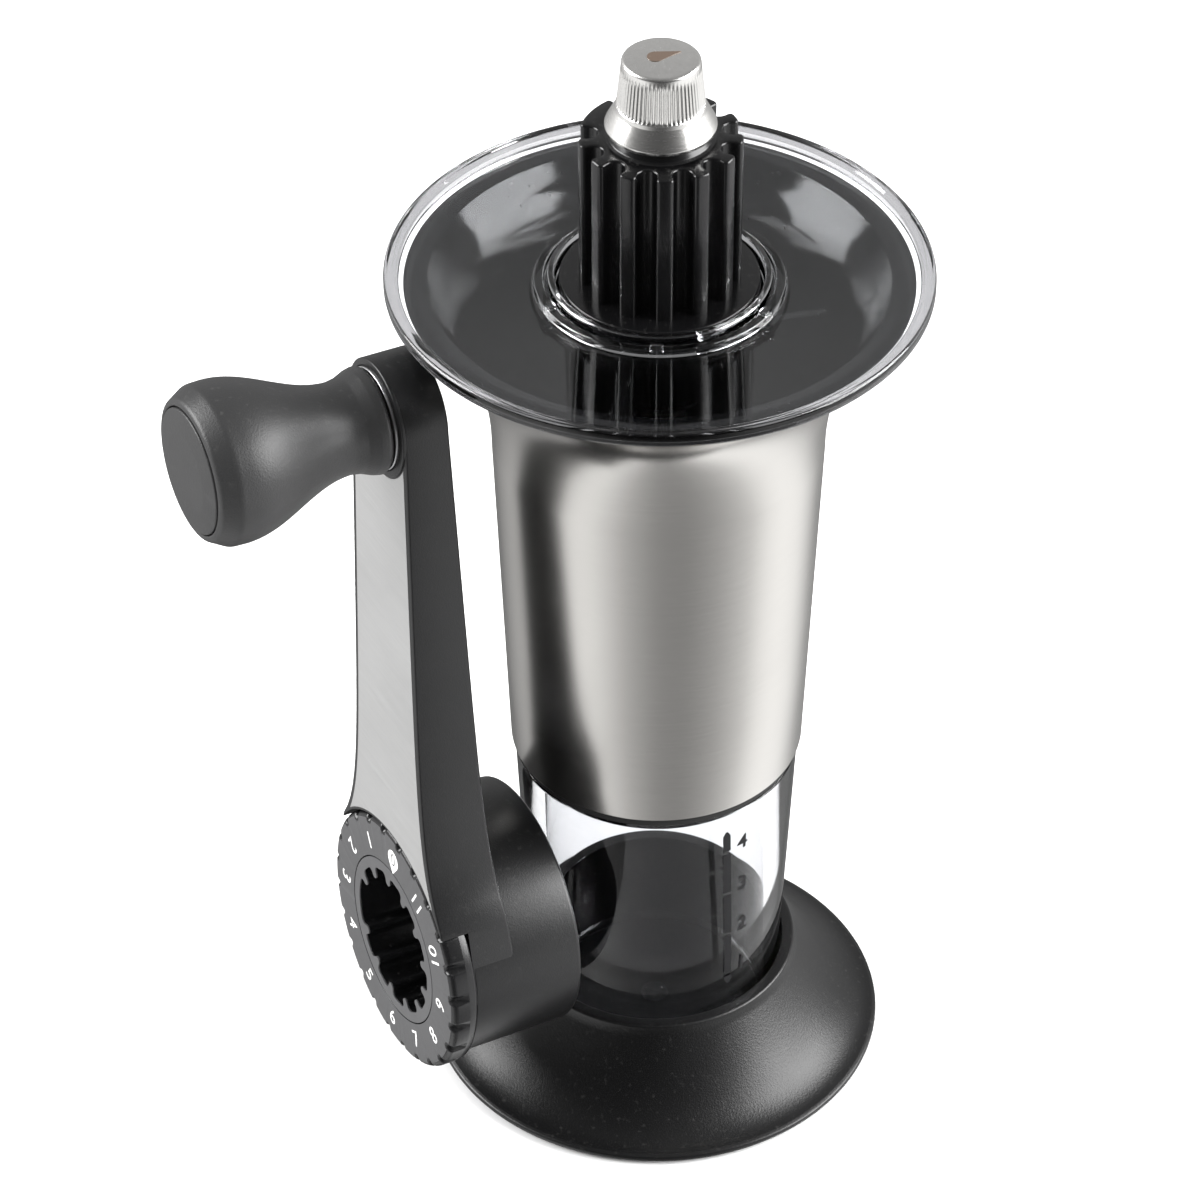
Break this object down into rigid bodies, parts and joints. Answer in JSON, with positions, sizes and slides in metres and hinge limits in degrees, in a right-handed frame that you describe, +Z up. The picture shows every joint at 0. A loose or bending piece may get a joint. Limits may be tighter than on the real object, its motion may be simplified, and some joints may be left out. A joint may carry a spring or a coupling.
{
  "type": "hand crank coffee grinder",
  "caption": "Upright hand coffee grinder with a clear jar in a flared foot, a steel mill head, a clear lid, a splined drive drum and a loose crank leaning beside it.",
  "frame": {"origin": "centre of the foot on the table", "axes": "+Z up along the drive axis, -Y towards the front, +X to the right"},
  "size_m": [0.1318, 0.0951, 0.2184],
  "materials": {
    "black_shell": "satin black, fine leather-like moulding grain",
    "rubber_pad": "matt black rubber",
    "clear_plastic": "clear glossy moulded plastic",
    "brushed_shell": "stainless sheet, brushed round the axis",
    "black_inner": "black moulded plastic, half gloss",
    "burr_ceramic": "fired white ceramic",
    "plain_steel": "turned steel, satin",
    "spring_steel": "dark spring steel",
    "bush_brass": "turned brass, satin",
    "black_drum": "black moulded plastic, soft gloss",
    "knob_aluminium": "satin aluminium with a knurled band",
    "mark_brown": "dark brown inlay",
    "plate_silver": "satin silver plate",
    "dial_grey": "mid grey plastic with white printed numbers",
    "grip_charcoal": "charcoal plastic, fine grain"
  },
  "bodies": {
    "stand": {"foot": "black_shell", "foot_pad": "rubber_pad"},
    "jar": {"jar": "clear_plastic"},
    "seal": {"jar_seal": "rubber_pad"},
    "head": {"steel_shell": "brushed_shell", "hopper": "black_inner", "upper_bridge": "black_inner", "lower_bridge": "black_inner", "mill_body": "black_inner", "outer_burr": "burr_ceramic", "burr_retainer": "plain_steel", "burr_screws": "plain_steel", "upper_bush": "bush_brass", "lower_bush": "bush_brass"},
    "drive": {"collar_disc": "black_drum", "spline_drum": "black_drum", "drive_shaft": "plain_steel", "spring_seat": "plain_steel", "retaining_ring": "spring_steel", "detent_ball": "plain_steel", "detent_spring": "spring_steel"},
    "burr": {"inner_burr": "burr_ceramic", "adjust_rod": "plain_steel", "drive_pin": "plain_steel", "burr_nut": "plain_steel", "burr_spring": "spring_steel"},
    "knob": {"adjuster_knob": "knob_aluminium", "knob_insert": "bush_brass", "knob_mark": "mark_brown"},
    "lid": {"lid": "clear_plastic"},
    "crank": {"crank_arm": "black_shell", "arm_plate": "plate_silver", "hub_liner": "black_drum", "liner_screws": "plain_steel", "grip_axle": "plain_steel", "grip_ring": "plain_steel", "axle_clip": "spring_steel"},
    "dial": {"dial_ring": "dial_grey"},
    "grip": {"grip": "grip_charcoal", "grip_cap": "grip_charcoal"}
  },
  "joints": [
    {"name": "jar_lift", "type": "slide", "parent": "stand", "child": "jar", "axis": [0, 0, 1], "range_m": [0, 0.03]},
    {"name": "head_turn", "type": "hinge", "parent": "jar", "child": "seal", "pos_m": [0, 0, 0.0715], "axis": [0, 0, 1], "range_deg": [0, 45]},
    {"name": "head_lift", "type": "slide", "parent": "seal", "child": "head", "axis": [0, 0, 1], "range_m": [0, 0.03]},
    {"name": "drive_spin", "type": "hinge", "parent": "head", "child": "drive", "pos_m": [0, 0, 0.16], "axis": [0, 0, 1], "continuous": true},
    {"name": "knob_turn", "type": "hinge", "parent": "drive", "child": "knob", "pos_m": [0, 0, 0.21], "axis": [0, 0, 1], "range_deg": [0, 330]},
    {"name": "burr_shift", "type": "slide", "parent": "drive", "child": "burr", "axis": [0, 0, 1], "range_m": [-0.000916, 0], "deforming": ["burr_spring"]},
    {"name": "lid_lift", "type": "slide", "parent": "head", "child": "lid", "axis": [0, 0, 1], "range_m": [0, 0.055]},
    {"name": "crank_away", "type": "slide", "parent": "stand", "child": "crank", "axis": [-0.8829, -0.4695, 0], "range_m": [0, 0.08]},
    {"name": "dial_turn", "type": "hinge", "parent": "crank", "child": "dial", "pos_m": [-0.04876, -0.02592, 0.0422], "axis": [-0.8824, -0.4692, 0.0349], "range_deg": [0, 330]},
    {"name": "grip_spin", "type": "hinge", "parent": "crank", "child": "grip", "pos_m": [-0.04804, -0.01866, 0.15797], "axis": [-0.8824, -0.4692, 0.0349], "continuous": true}
  ],
  "couplings": [
    {"joint": "knob_turn", "follows": "burr_shift", "rad_per_m": -6283.2}
  ]
}
